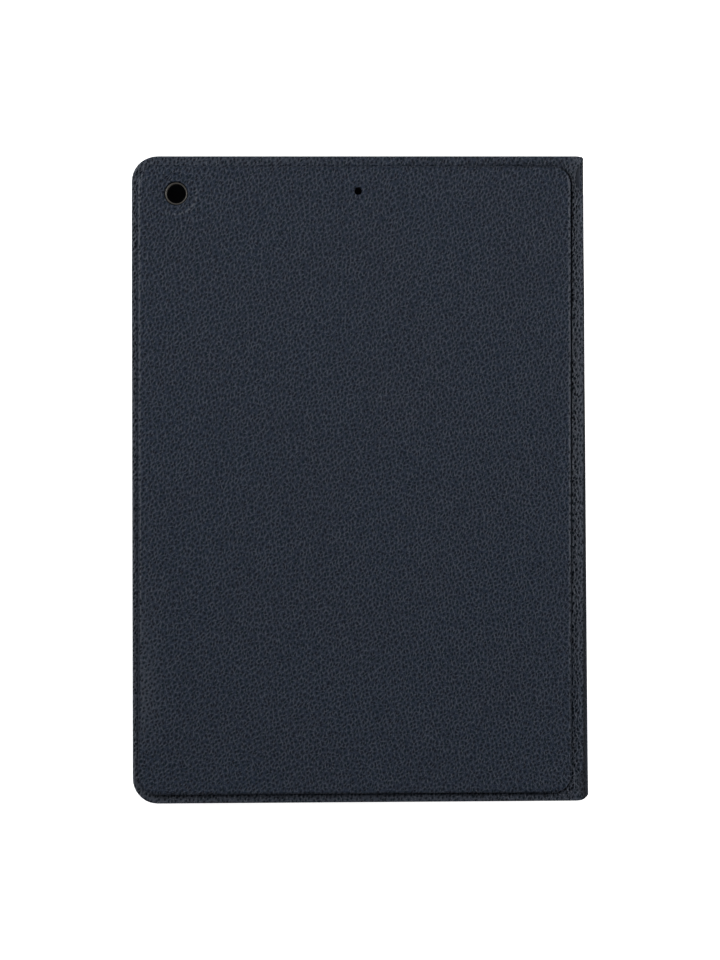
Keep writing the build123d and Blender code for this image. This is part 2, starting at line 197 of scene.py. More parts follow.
def sheet_mesh(name, rect, radii, profile, place, holes=(), top_fn=None, bottom_fn=None, top_loops=(), skip=None, step=6.0, dense=(), far_open=False, material=None, n=9, lower=None):
    """A sheet with thickness, made flat as (u, v, depth) and then placed: profile lists (inset, depth, unrolled) rings from the upper face round the edge to the lower face."""
    x0, x1, y0, y1 = rect
    near, far = radii
    us = spread(x0 + max(near, far), x1 - max(near, far), step)
    vs = spread(y0 + near, y1 - far, step, dense)
    rings = [ring(x0, x1, y0, y1, near, far, i, 0.0, us, vs, n) for i, _, _ in profile]
    verts, uvs, faces, low_faces = [], [], [], []

    def push(points, depth, unroll=None):
        a = len(verts)
        depth = depth(np.array([p[0] for p in points]), np.array([p[1] for p in points])) if callable(depth) else [depth] * len(points)
        verts.extend((p[0], p[1], float(d)) for p, d in zip(points, depth))
        uvs.extend(unroll or points)
        return list(range(a, a + len(points)))

    # the edge
    ids = []
    for r, (i, d, w) in zip(rings, profile):
        unrolled = ring(x0, x1, y0, y1, near, far, w, 0.0, us, vs, n) if w > -50 else r
        ids.append(push(r, d if not callable(d) else d, unrolled))
    m = len(rings[0])
    far_start = len(us) + (n + 1 if near else 1) + len(vs)
    for a, b in zip(ids[:-1], ids[1:]):
        for i in range(m):
            j = (i + 1) % m
            faces.append((a[i], b[i], b[j], a[j]))
    # holes
    hole_top, hole_low = [], []
    for h in holes:
        loops_ = [circle(h["c"], h["r"] + dr, h["n"]) for dr, _ in h["profile"]]
        hid = [push(l, d) for l, (_, d) in zip(loops_, h["profile"])]
        k = h["n"]
        for a, b in zip(hid[:-1], hid[1:]):
            for i in range(k):
                j = (i + 1) % k
                faces.append((a[j], b[j], b[i], a[i]))
        hole_top.append((loops_[0], hid[0]))
        hole_low.append((loops_[-1], hid[-1]))
    # the two faces
    for side, (bound, bid), hs, fn in ((0, (rings[0], ids[0]), hole_top, top_fn), (1, (rings[-1], ids[-1]), hole_low, bottom_fn)):
        extra = [l for l in (top_loops if side == 0 else ())]
        inset = profile[0][0] if side == 0 else profile[-1][0]
        grid_pts = []
        for u in us:
            for v in vs:
                s = float(sd_rrect(u, v, x0, x1, y0, y1, near, far)) if not far_open else max(-(v - y0), abs(u - (x0 + x1) / 2) - (x1 - x0) / 2, float(sd_rrect(u, v, x0, x1, y0, y1 + 50, near, near or 1)))
                if s > -(inset + 0.5) or (far_open and v > y1 - 0.2):
                    continue
                if any(math.hypot(u - h["c"][0], v - h["c"][1]) < h.get("clear", h["r"] + 1.0) for h in holes):
                    continue
                if side == 0 and skip is not None and skip(u, v):
                    continue
                grid_pts.append((u, v))
        hs_loops = [l for l, _ in hs]

        def keep(x, y, bound=bound, hs_loops=hs_loops):
            return inside(bound, x, y) and not any(inside(l, x, y) for l in hs_loops)

        co, tris = cap(bound, hs_loops, extra, grid_pts, keep)
        known = list(bid)
        for _, hid in hs:
            known += hid
        rest = co[len(known):]
        base = profile[0][1] if side == 0 else profile[-1][1]
        known += push(rest, fn if fn is not None else base)
        for t in tris:
            idx = [known[i] for i in t]
            a2 = np.array([co[i] for i in t])
            area = np.cross(a2[1] - a2[0], a2[2] - a2[0])
            if (area < 0) == (side == 0):
                idx.reverse()
            if side == 1 and lower is not None:
                low_faces.append(len(faces))
            faces.append(tuple(idx))
    uvd = np.array(verts, float)
    xyz = place(uvd[:, 0], uvd[:, 1], uvd[:, 2]) * MM
    me = bpy.data.meshes.new(name)
    me.from_pydata(xyz.tolist(), [], faces)
    uvl = me.uv_layers.new(name="grain")
    uva = np.array(uvs, float)
    li = np.zeros(len(me.loops), np.int64)
    me.loops.foreach_get("vertex_index", li)
    uvl.data.foreach_set("uv", (uva[li] * MM).astype(np.float32).ravel())
    me.validate()
    for p in me.polygons:
        p.use_smooth = True
    o = bpy.data.objects.new(name, me)
    bpy.context.scene.collection.objects.link(o)
    fix_normals(o)
    if material:
        me.materials.append(material)
    if lower is not None:
        me.materials.append(lower)
        for i in low_faces:
            me.polygons[i].material_index = 1
    return o


def paint_light_and_shade(o, fn, name="painted_shade"):
    """Painted shade along creases and edges, or painted highlight on edges and strips, as a value on each vertex."""
    co = np.zeros(len(o.data.vertices) * 3)
    o.data.vertices.foreach_get("co", co)
    co = co.reshape(-1, 3) * 1000
    a = o.data.attributes.new(name, "FLOAT", "POINT")
    a.data.foreach_set("value", np.clip(fn(co[:, 0], co[:, 1], co[:, 2]), 0, 1).astype(np.float32))


def fix_normals(o):
    bm = bmesh.new()
    bm.from_mesh(o.data)
    bmesh.ops.remove_doubles(bm, verts=bm.verts, dist=2e-7)
    bmesh.ops.recalc_face_normals(bm, faces=bm.faces)
    bm.to_mesh(o.data)
    bm.free()


# ------------------------------------------------------------------ materials
GRAIN_TURN = 20.0
LEATHER_TOP = (0.0178, 0.0274, 0.0478)
LEATHER_WARM = (0.0192, 0.0270, 0.0460)
LEATHER_LIGHT = (0.0720, 0.0820, 0.1080)
LEATHER_LOW = (0.0034, 0.0058, 0.0135)
LEATHER_TEAL = (0.0024, 0.0105, 0.0180)
LEATHER_ROUGH = 0.46
LEATHER_SPEC = 0.16


def nodes_of(name):
    m = bpy.data.materials.new(name)
    m.use_nodes = True
    t = m.node_tree
    return m, t, t.nodes["Principled BSDF"]


class G:
    """Small helper to write node graphs."""

    def __init__(self, tree):
        self.t = tree

    def n(self, kind, **kw):
        node = self.t.nodes.new(kind)
        for k, v in kw.items():
            setattr(node, k, v)
        return node

    def link(self, a, b):
        self.t.links.new(a, b)

    def val(self, sock, x):
        if hasattr(x, "is_output"):
            self.link(x, sock)
        else:
            sock.default_value = x

    def math(self, op, a, b=0.0, c=0.0, clamp=False):
        m = self.n("ShaderNodeMath", operation=op, use_clamp=clamp)
        self.val(m.inputs[0], a)
        self.val(m.inputs[1], b)
        if len(m.inputs) > 2:
            self.val(m.inputs[2], c)
        return m.outputs[0]

    def ramp(self, x, lo_, hi_, a=0.0, b=1.0, smooth=True):
        m = self.n("ShaderNodeMapRange", interpolation_type="SMOOTHSTEP" if smooth else "LINEAR")
        self.val(m.inputs["Value"], x)
        m.inputs["From Min"].default_value = lo_
        m.inputs["From Max"].default_value = hi_
        m.inputs["To Min"].default_value = a
        m.inputs["To Max"].default_value = b
        return m.outputs["Result"]

    def mix(self, f, a, b):
        m = self.n("ShaderNodeMix", data_type="RGBA")
        self.val(m.inputs[0], f)
        self.val(m.inputs[6], a if hasattr(a, "is_output") else (*a, 1.0))
        self.val(m.inputs[7], b if hasattr(b, "is_output") else (*b, 1.0))
        return m.outputs[2]

    def noise(self, co, scale, detail=2.0, rough=0.5, dims="3D"):
        m = self.n("ShaderNodeTexNoise", noise_dimensions=dims)
        self.link(co, m.inputs["Vector"])
        m.inputs["Scale"].default_value = scale
        m.inputs["Detail"].default_value = detail
        m.inputs["Roughness"].default_value = rough
        return m.outputs["Fac"]

    def voronoi(self, co, scale, feature="F1", dims="2D", smooth=0.0, rand=1.0):
        m = self.n("ShaderNodeTexVoronoi", feature=feature, voronoi_dimensions=dims)
        self.link(co, m.inputs["Vector"])
        m.inputs["Scale"].default_value = scale
        m.inputs["Randomness"].default_value = rand
        if feature == "SMOOTH_F1":
            m.inputs["Smoothness"].default_value = smooth
        return m

    def bump(self, height, distance, strength=1.0, normal=None):
        m = self.n("ShaderNodeBump")
        m.inputs["Strength"].default_value = strength
        m.inputs["Distance"].default_value = distance
        self.link(height, m.inputs["Height"])
        if normal is not None:
            self.link(normal, m.inputs["Normal"])
        return m.outputs["Normal"]


def leather(name, cell=1.60, uv=True, contrast=1.0, relief=1.0, ribs=0.32, low=None, light=None):
    """Pebbled leather: rows of small round dark pits, a little drawn out along one diagonal, between rounded ridges, with finer pores and slow colour drift. cell is in millimetres."""
    m, t, bsdf = nodes_of(name)
    g = G(t)
    if uv:
        src = g.n("ShaderNodeUVMap", uv_map="grain").outputs["UV"]
    else:
        src = g.n("ShaderNodeTexCoord").outputs["Object"]
    dims = "2D" if uv else "3D"
    wander = g.n("ShaderNodeTexNoise", noise_dimensions="3D")
    g.link(src, wander.inputs["Vector"])
    wander.inputs["Scale"].default_value = 260.0
    wander.inputs["Detail"].default_value = 1.0
    sub = g.n("ShaderNodeVectorMath", operation="SUBTRACT")
    g.link(wander.outputs["Color"], sub.inputs[0])
    sub.inputs[1].default_value = (0.5, 0.5, 0.5)
    sc = g.n("ShaderNodeVectorMath", operation="SCALE")
    g.link(sub.outputs[0], sc.inputs[0])
    sc.inputs["Scale"].default_value = 0.0016
    add = g.n("ShaderNodeVectorMath", operation="ADD")
    g.link(src, add.inputs[0])
    g.link(sc.outputs[0], add.inputs[1])

    def turned(angle, sx, sy, after=0.0):
        r = g.n("ShaderNodeMapping", vector_type="POINT")
        g.link(add.outputs[0], r.inputs["Vector"])
        r.inputs["Rotation"].default_value = (0, 0, math.radians(angle))
        q = g.n("ShaderNodeMapping", vector_type="POINT")
        g.link(r.outputs["Vector"], q.inputs["Vector"])
        q.inputs["Scale"].default_value = (sx, sy, 1.0)
        if not after:
            return q.outputs["Vector"]
        p = g.n("ShaderNodeMapping", vector_type="POINT")
        g.link(q.outputs["Vector"], p.inputs["Vector"])
        p.inputs["Rotation"].default_value = (0, 0, math.radians(after))
        return p.outputs["Vector"]

    k = 1000.0 / cell
    f1 = g.voronoi(turned(GRAIN_TURN, 0.78, 1.12, 45.0), k, "F1", dims, rand=0.70).outputs["Distance"]
    fe = g.voronoi(turned(GRAIN_TURN, 0.78, 1.12, 45.0), k, "DISTANCE_TO_EDGE", dims, rand=0.70).outputs["Distance"]
    f2 = g.voronoi(turned(GRAIN_TURN, 0.82, 1.12, 38.0), k * 1.7, "F1", dims, rand=0.85).outputs["Distance"]
    streak = g.noise(turned(GRAIN_TURN, 0.60, 1.30), 1150.0, 0.0, 0.5)
    fine = g.noise(src, 3000.0, 2.0, 0.6)
    slow = g.noise(src, 26.0, 3.0, 0.55)
    hue = g.noise(src, 420.0, 0.0, 0.5)
    pit = g.ramp(f1, 0.16, 0.38, 1.0, 0.0)
    pore = g.ramp(f2, 0.06, 0.40, 1.0, 0.0)
    ridge = g.ramp(fe, 0.02, 0.17, 1.0, 0.0)
    height = g.math("MULTIPLY_ADD", pit, -1.0, 1.0)
    height = g.math("MULTIPLY_ADD", ridge, 0.36, height)
    height = g.math("MULTIPLY_ADD", streak, ribs, height)
    height = g.math("MULTIPLY_ADD", pore, -0.42, height)
    height = g.math("MULTIPLY_ADD", fine, 0.12, height)
    low = low or LEATHER_LOW
    light = light or LEATHER_LIGHT
    base = g.mix(g.ramp(slow, 0.35, 0.65), LEATHER_TOP, LEATHER_WARM)
    glow = g.math("MULTIPLY", ridge, g.ramp(streak, 0.36, 0.60, 0.0, 1.0))
    base = g.mix(g.math("MULTIPLY", glow, 0.8 * contrast, clamp=True), base, light)
    deep = g.mix(g.ramp(hue, 0.42, 0.58), low, LEATHER_TEAL)
    base = g.mix(g.math("MULTIPLY", pore, 0.55 * contrast, clamp=True), base, deep)
    # painted highlight: paler leather colour where the vertex value read here is set
    painted_light = g.n("ShaderNodeAttribute", attribute_name="painted_light").outputs["Fac"]
    base = g.mix(g.math("MULTIPLY", painted_light, 0.8, clamp=True), base, (0.095, 0.105, 0.125))
    base = g.mix(g.math("MULTIPLY", pit, 0.92, clamp=True), base, deep)
    # painted shade: near-black leather colour where the vertex value read here is set; the same value also raises the
    # roughness
    painted_shade = g.n("ShaderNodeAttribute", attribute_name="painted_shade").outputs["Fac"]
    base = g.mix(g.math("MULTIPLY", painted_shade, 0.93, clamp=True), base, (0.0016, 0.0020, 0.0030))
    g.link(base, bsdf.inputs["Base Color"])
    rough = g.ramp(height, 0.2, 1.6, LEATHER_ROUGH + 0.14, LEATHER_ROUGH)
    rough = g.math("MULTIPLY_ADD", painted_shade, 0.3, rough)
    g.link(rough, bsdf.inputs["Roughness"])
    bsdf.inputs["Specular IOR Level"].default_value = LEATHER_SPEC
    g.link(g.bump(height, 0.00026 * relief, 1.0), bsdf.inputs["Normal"])
    return m


def cloth(name, color, sheen=0.35):
    """Microfibre: short nap that mottles, with a weak twill under it."""
    m, t, bsdf = nodes_of(name)
    g = G(t)
    src = g.n("ShaderNodeTexCoord").outputs["Object"]
    nap = g.noise(src, 3800.0, 3.0, 0.65)
    patch = g.noise(src, 45.0, 4.0, 0.6)
    wave = g.n("ShaderNodeTexWave", wave_type="BANDS", bands_direction="DIAGONAL")
    g.link(src, wave.inputs["Vector"])
    wave.inputs["Scale"].default_value = 420.0
    wave.inputs["Distortion"].default_value = 1.2
    wave.inputs["Detail"].default_value = 1.0
    dark = tuple(c * 0.62 for c in color)
    base = g.mix(g.ramp(patch, 0.3, 0.7), dark, color)
    base = g.mix(g.math("MULTIPLY", nap, 0.35), base, tuple(min(1, c * 1.9) for c in color))
    g.link(base, bsdf.inputs["Base Color"])
    bsdf.inputs["Roughness"].default_value = 0.92
    bsdf.inputs["Specular IOR Level"].default_value = 0.2
    bsdf.inputs["Sheen Weight"].default_value = sheen
    bsdf.inputs["Sheen Roughness"].default_value = 0.4
    h = g.math("MULTIPLY_ADD", wave.outputs["Fac"], 0.35, nap)
    g.link(g.bump(h, 0.00006, 0.9), bsdf.inputs["Normal"])
    return m


def plastic(name, color, rough=0.5, grain=0.00002, grain_scale=4200.0, spec=0.5, metal=0.0, coat=0.0, drift=0.15):
    """Moulded part: fine spark-eroded texture, slow gloss drift and slight handling marks."""
    m, t, bsdf = nodes_of(name)
    g = G(t)
    src = g.n("ShaderNodeTexCoord").outputs["Object"]
    fine = g.noise(src, grain_scale, 2.0, 0.6)
    slow = g.noise(src, 60.0, 3.0, 0.55)
    rub = g.noise(src, 320.0, 4.0, 0.7)
    a = tuple(c * (1 - drift) for c in color)
    b = tuple(min(1, c * (1 + drift)) for c in color)
    base = g.mix(g.ramp(slow, 0.3, 0.7), a, b)
    g.link(base, bsdf.inputs["Base Color"])
    r = g.ramp(rub, 0.3, 0.7, rough - 0.05, rough + 0.06)
    g.link(r, bsdf.inputs["Roughness"])
    bsdf.inputs["Specular IOR Level"].default_value = spec
    bsdf.inputs["Metallic"].default_value = metal
    bsdf.inputs["Coat Weight"].default_value = coat
    g.link(g.bump(fine, grain, 0.8), bsdf.inputs["Normal"])
    return m


M_LEATHER = leather("pebbled_navy_leather")
M_BORDER = leather("pebbled_navy_leather_border", cell=1.62, contrast=1.1, relief=1.3, ribs=0.9, light=(0.070, 0.080, 0.105))
M_LEATHER_CAD = leather("pebbled_navy_leather_solid", uv=False)
M_LINING = cloth("navy_microfibre", (0.020, 0.025, 0.036))
M_TRAY = plastic("tray_navy_plastic", (0.0180, 0.0225, 0.0320), rough=0.50, spec=0.24, drift=0.05)
M_CASE = plastic("keyboard_case_plastic", (0.0270, 0.0310, 0.0400), rough=0.46, spec=0.22, drift=0.05)
M_GRID = plastic("keyboard_grid_plastic", (0.0190, 0.0220, 0.0300), rough=0.52, spec=0.20)
M_KEY = plastic("keycap_plastic", (0.0050, 0.0055, 0.0065), rough=0.42, grain=0.000012, spec=0.16)
M_LEGEND = plastic("legend_print", (0.62, 0.64, 0.66), rough=0.5, grain=0.000004)
M_RIM = plastic("camera_rim_plastic", (0.085, 0.080, 0.073), rough=0.38, spec=0.45)
M_BOARD = plastic("fibreboard", (0.036, 0.036, 0.038), rough=0.85, grain=0.00006, grain_scale=1800.0)
M_MAGNET = plastic("nickel_plate", (0.55, 0.54, 0.52), rough=0.28, metal=1.0)
M_STEEL = plastic("plated_steel", (0.50, 0.50, 0.51), rough=0.32, metal=1.0)
M_PLATE = plastic("aluminium_sheet", (0.60, 0.60, 0.61), rough=0.42, metal=1.0)
M_FILM = plastic("film", (0.55, 0.55, 0.52), rough=0.35)
M_FOIL = plastic("battery_foil", (0.30, 0.30, 0.32), rough=0.38, metal=0.6)
M_PCB = plastic("solder_mask", (0.012, 0.075, 0.035), rough=0.36, coat=0.3)
M_WINDOW = plastic("light_window", (0.55, 0.57, 0.60), rough=0.3)
M_TAPE = plastic("tape", (0.35, 0.35, 0.34), rough=0.7)
M_RUBBER = plastic("rubber", (0.012, 0.012, 0.013), rough=0.72, spec=0.3)

by_slot = {"navy_leather": M_LEATHER_CAD, "microfibre": M_LINING, "fibreboard": M_BOARD, "magnet": M_MAGNET, "tray_plastic": M_TRAY, "rim_plastic": M_RIM,
           "case_plastic": M_CASE, "key_plastic": M_KEY, "plate_metal": M_PLATE, "film": M_FILM, "battery_wrap": M_FOIL, "circuit_board": M_PCB,
           "steel": M_STEEL, "light_window": M_WINDOW, "tape": M_TAPE, "rubber": M_RUBBER}
for sp in frame["record"]["subparts"]:
    o = N[sp["node"]]
    o.data.materials.clear()
    o.data.materials.append(M_GRID if sp["node"] == "key_grid" else by_slot[sp["material_slot"]])


# ------------------------------------------------------------------ leather of the back: rear cover, fold, upper half of the spine
R_OUT = 1.3
SPINE_SWELL = 1.75     # the spine's outer face swells towards the +X end


def skew_x(x, y):
    """The +X end is cut very slightly out of square."""
    return np.where(x > 0, x * (0.9990 - 0.0050 * y / 92.1), x)


def far_shift(x):
    """The spine side isn't quite straight: it draws in towards the -X end."""
    return np.interp(x, (-110, -93, -77, -45, -20, 50, 118, 128), (-0.53, -0.40, -0.20, -0.08, 0.0, 0.04, 0.15, 0.25))


def near_shift(x):
    """Nor is the opening side."""
    return np.interp(x, (-77, 50, 118), (-0.24, 0.0, 0.17))


def thickness(v, flat, end):
    """Sheet thickness along the path: 1.0 on the covers and the fold, 1.8 over the spine board."""
    t = np.clip((v - (flat + 2.3)) / 1.2, 0, 1)
    return 1.0 + 0.8 * t * t * (3 - 2 * t)


def swell(x, z):
    s = np.clip((z - ZH[0]) / (ZH[1] - ZH[0]), 0, 1)
    return SPINE_SWELL * np.clip((x / X1 + 1) / 2, 0, 1) * np.sin(math.pi * s) ** 2


def wrap(top):
    """Places (u, v, depth): v follows the outer face across the cover, round the fold and onto the spine. top says which cover."""
    flat = YS - R_OUT
    quarter = R_OUT * math.pi / 2

    def place(u, v, d):
        phi = np.clip((v - flat) / R_OUT, 0, math.pi / 2)
        run = np.clip(v - flat - quarter, 0, None)
        T = thickness(v, flat, 0)
        d = np.where(d > 0, d * T, d)          # depth 1 is the inner face
        sy, cz = np.sin(phi), np.cos(phi)
        y = np.minimum(v, flat) + R_OUT * sy - d * sy
        if top:
            z = Z_BORDER - R_OUT + R_OUT * cz - run - d * cz
        else:
            z = Z_FBORDER + R_OUT - R_OUT * cz + run + d * cz
        share = np.clip(1 - d / T, 0, 1)
        y = y + np.where(v > flat, swell(u, z) * share, 0)
        e = np.clip((v - flat + 4.0) / 5.0, 0, 1)
        y = y + far_shift(u) * share * e * e * (3 - 2 * e)
        if top:
            y = y + near_shift(u) * np.clip((-85.0 - v) / 3.0, 0, 1)
        t = np.clip((v - 87.0) / (flat + 1.0 - 87.0), 0, 1)
        back_ = np.clip((v - flat - 1.0) / 5.0, 0, 1)
        drop = 0.75 * t ** 1.7 * (1 - back_ * back_ * (3 - 2 * back_)) * (0.4 + 0.6 * share)
        z = z - drop if top else z + drop * 0.5
        x = u + (skew_x(u, np.minimum(v, 92.1)) - u) * np.clip((z - ZMID) / 7.0, 0, 1) if top else u
        g_ = np.clip((v - (flat - 2.2)) / 5.5, 0, 1)
        g_ = g_ * g_ * (3 - 2 * g_)
        round_ = np.clip((np.sin(math.pi * np.clip((z - ZH[0]) / (ZH[1] - ZH[0]), 0, 1)) ** 2 - 0.5) / 0.5, 0, 1) ** 2
        x = x * (1 - np.where(u > 0, 0.75 * g_ + 0.95 * round_, 0.7 * g_) / X1)
        return np.stack([x, y, z], 1)
    return place, flat, quarter


place_top, FLAT, QUARTER = wrap(True)
V_END_TOP = FLAT + QUARTER + (Z_BORDER - R_OUT - ZMID)
place_low, _, _ = wrap(False)
V_END_LOW = FLAT + QUARTER + (ZMID - Z_FBORDER - R_OUT)
EDGE = [(0.9, 0.0, 0.9), (0.55, 0.04, 0.5), (0.25, 0.16, 0.15), (0.07, 0.36, -0.1), (0.0, 0.55, -0.35), (0.04, 0.75, -0.55), (0.18, 0.92, -0.8), (0.5, 1.0, -1.1)]
FOLD = [(86.5, 96.0, 0.25)]
CORNER = 10.3


hole_cam = {"c": CAM, "r": CAM_R, "n": 48, "profile": [(0.5, 0.0), (0.18, 0.05), (0.0, 0.25), (0.0, 1.0)], "clear": CAM_R + 1.2}
hole_mic = {"c": MIC, "r": MIC_R, "n": 24, "profile": [(0.25, 0.0), (0.0, 0.15), (0.0, 1.0)], "clear": MIC_R + 1.0}
P0, P1 = slo[1] + 0.22, shi[1] - 0.40
STAND = (slo[0] + 0.80, shi[0] - 0.27, P0, P1, 7.3, 7.5)


def groove_amount(x, y):
    """How deep the groove round the stand panel is, and how dark its painted shade: none on the hinge side, most beside
    the fold.
    """
    right = np.clip((y - 78.0) / 8.0, 0, 1)
    left = np.clip((-80.0 - y) / 6.0, 0, 1)
    end = np.where(x > 0, 0.60, 0.14 + 0.46 * np.clip((y + 70) / 150.0, 0, 1))
    return (end * (1 - right) + 1.0 * right) * (1 - left)


def groove(u, v):
    s = sd_rrect(u, v, *STAND)
    return 0.38 * groove_amount(np.asarray(u), np.asarray(v)) * np.exp(-((s - 0.04) / 0.34) ** 2)


gus = spread(STAND[0] + 7.3, STAND[1] - 7.3, 5.0)
gvs = spread(STAND[2] + 7.3, STAND[3] - 7.5, 5.0)
GROOVE_LOOPS = [ring(*STAND, i, i, gus, gvs, 8) for i in (-1.3, -0.85, -0.6, -0.4, -0.2, 0.0, 0.25, 0.6, 1.2)]
back = sheet_mesh("back_leather", (-X1, X1, YN + 0.25, V_END_TOP), (CORNER, 0), EDGE, place_top, holes=[hole_cam, hole_mic], step=5.0, dense=FOLD, far_open=True, material=M_BORDER,
                  top_fn=groove, top_loops=GROOVE_LOOPS, skip=lambda u, v: -2.0 < float(sd_rrect(u, v, *STAND)) < 1.6)


# Painted shade on the back leather: a dark line round the stand panel's edge, a painted shadow on the border beside the
# panel near the -X end, and the spine's side band painted dark.
def back_painted_shade(x, y, z):
    s = sd_rrect(x, y, *STAND)
    line = groove_amount(x, y) * np.exp(-((s - 0.02) / np.where(y > 84.0, 0.33, 0.27)) ** 2)
    line = line * np.where(y > 84.0, np.interp(x, (-115, -85), (0.82, 1.0)), 1.0)
    shade = np.where(x < -100.0, 0.30 * np.clip((y - 20.0) / 50.0, 0, 1) * np.clip((1.9 - s) / 1.0, 0, 1) * np.clip((90.0 - y) / 2.0, 0, 1) * (s > -0.2), 0)
    spine = 0.92 * np.clip((y - 90.85) / 0.8, 0, 1) * np.clip((20.9 - z) / 0.5, 0, 1) * (0.32 + 0.68 * np.clip((z - 13.5) / 4.0, 0, 1))
    return np.maximum(np.where(z > 20.0, np.maximum(line, shade), 0), spine)


# Painted highlight on the back leather: paler strip and border between the stand panel and the fold, paler outer border
# on the hinge side, and paler end borders.
def back_painted_light(x, y, z):
    s = sd_rrect(x, y, *STAND)
    strip = np.interp(x, (-113, -80, -40, 0, 49, 89, 114), (0.42, 0.47, 0.64, 0.54, 0.40, 0.24, 0.17)) * np.clip((y - 86.4) / 0.4, 0, 1) * (1 - np.clip((y - 91.0) / 0.8, 0, 1))
    strip = strip + np.interp(x, (-113, -40, 40, 80), (0.42, 0.42, 0.30, 0.0)) * np.exp(-((s - 0.95) / 0.40) ** 2) * np.clip((y - 84.0) / 2.0, 0, 1)
    left = (0.46 + 0.30 * np.clip((-90.6 - y) / 0.5, 0, 1) + 0.25 * np.clip((x - 90.0) / 25.0, 0, 1)) * (y < -88.0)
    ends = np.where(np.abs(y) < 88.0, np.where(x > 100, 0.33 + 0.15 * np.clip((-30.0 - y) / 40.0, 0, 1), 0.06 + 0.14 * np.clip((-10.0 - y) / 50.0, 0, 1)), 0)
    return np.where(z > 19.5, np.clip((s - 0.25) / 0.4, 0, 1), 0) * (strip + left + ends)


# painted shade, then painted highlight, on the back leather
paint_light_and_shade(back, back_painted_shade)
paint_light_and_shade(back, back_painted_light, "painted_light")
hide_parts("rear_cover_skin")
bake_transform(back)

# the front cover's leather, pressed over its board
P_NEAR, P_FAR = 7.3, 5.3
PRESS = Z_FBORDER


def press(u, v):
    s = sd_rrect(u, v, *PANEL, P_NEAR, P_FAR)
    t = np.clip(-s / 1.5, 0, 1)
    groove = 0.10 * np.exp(-((s - 0.15) / 0.35) ** 2)
    return -PRESS * (1 - (1 - t) ** 2.4) + groove


pus = spread(PANEL[0] + P_NEAR, PANEL[1] - P_NEAR, 5.0)
pvs = spread(PANEL[2] + P_NEAR, PANEL[3] - P_FAR, 5.0)
PRESS_LOOPS = [ring(*PANEL, P_NEAR, P_FAR, i, i, pus, pvs, 8) for i in (-0.9, -0.3, 0.0, 0.12, 0.3, 0.55, 0.9, 1.5, 2.4)]
front = sheet_mesh("front_leather", (-X1, X1, YN, V_END_LOW), (CORNER, 0), EDGE, place_low, top_fn=press, top_loops=PRESS_LOOPS,
                   skip=lambda u, v: -3.2 < float(sd_rrect(u, v, *PANEL, P_NEAR, P_FAR)) < 1.4, step=5.0, dense=FOLD, far_open=True, material=M_LEATHER)
# painted shade round the pressed panel on the front cover's outer face, and on the lower half of the spine's side band
paint_light_and_shade(front, lambda x, y, z: np.where(z < 2.0, 0.8 * np.exp(-((sd_rrect(x, y, *PANEL, P_NEAR, P_FAR) - 0.12) / 0.32) ** 2), 0)
             + 0.29 * np.clip((y - 91.0) / 0.8, 0, 1) * np.clip((z - 5.0) / (ZMID - 5.0), 0, 1))
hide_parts("front_cover_skin", "spine_skin")
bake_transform(front)

# ------------------------------------------------------------------ linings: they stop short of the turned leather edge
LR = 0.6
L_IN = 2.0


def wrap_lining(top):
    flat = YSI - LR
    quarter = LR * math.pi / 2
    z_face = Z_LIN if top else Z_FIN

    def place(u, v, d):
        phi = np.clip((v - flat) / LR, 0, math.pi / 2)
        run = np.clip(v - flat - quarter, 0, None)
        sy, cz = np.sin(phi), np.cos(phi)
        y = np.minimum(v, flat) + LR * sy + d * sy
        if top:
            z = z_face - LR + (LR + d) * cz - run
        else:
            z = z_face + LR - (LR + d) * cz + run
        x = u + (skew_x(u, np.minimum(v, 90)) - u) * np.clip((z - ZMID) / 7.0, 0, 1) if top else u
        return np.stack([x, y, z], 1)
    return place, flat, quarter


LIN_EDGE = [(0.35, 0.0, 0.35), (0.12, 0.05, 0.1), (0.0, 0.2, 0.0), (0.0, 0.38, -0.2)]
for top, nm, node in ((True, "back_lining", "rear_cover_lining"), (False, "front_lining", "front_cover_lining")):
    pl, fl, qu = wrap_lining(top)
    end = fl + qu + ((Z_LIN - LR - ZMID) if top else (ZMID - Z_FIN - LR))
    hl = [dict(hole_cam, r=CAM_R + 0.3, profile=[(0.1, 0.0), (0.0, 0.1), (0.0, 0.38)]), dict(hole_mic, r=MIC_R + 0.2, profile=[(0.1, 0.0), (0.0, 0.1), (0.0, 0.38)])] if top else []
    lin = sheet_mesh(nm, (-X1 + L_IN, X1 - L_IN, YN + L_IN, end), (CORNER - L_IN, 0), LIN_EDGE, pl, holes=hl, step=6.0, dense=[(86.5, 93.5, 0.25)], far_open=True, material=M_LINING)
    if top:
        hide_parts("rear_cover_lining")
        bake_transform(lin)
    else:
        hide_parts("front_cover_lining", "spine_lining")
        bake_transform(lin)

# ------------------------------------------------------------------ stand panel
SZ0, SZ1 = slo[2], shi[2]
STHICK = SZ1 - SZ0
DISH_R = 8.3
DISH_C = (EYE[0] + 0.25, EYE[1])
DISH_D = 0.40


def dish(u, v):
    r = np.hypot(np.asarray(u) - DISH_C[0], np.asarray(v) - DISH_C[1])
    t = np.clip((DISH_R + 0.35 - r) / 0.95, 0, 1)
    return DISH_D * t * t * (3 - 2 * t) / STHICK


def place_stand(u, v, d):
    # a small turn of the panel in its border, and the same out-of-square end
    a = math.radians(0.10)
    x = u * math.cos(a)
    y = v + u * math.sin(a) + 0.12
    z = SZ1 - d * STHICK
    return np.stack([skew_x(x, y), y, z], 1)


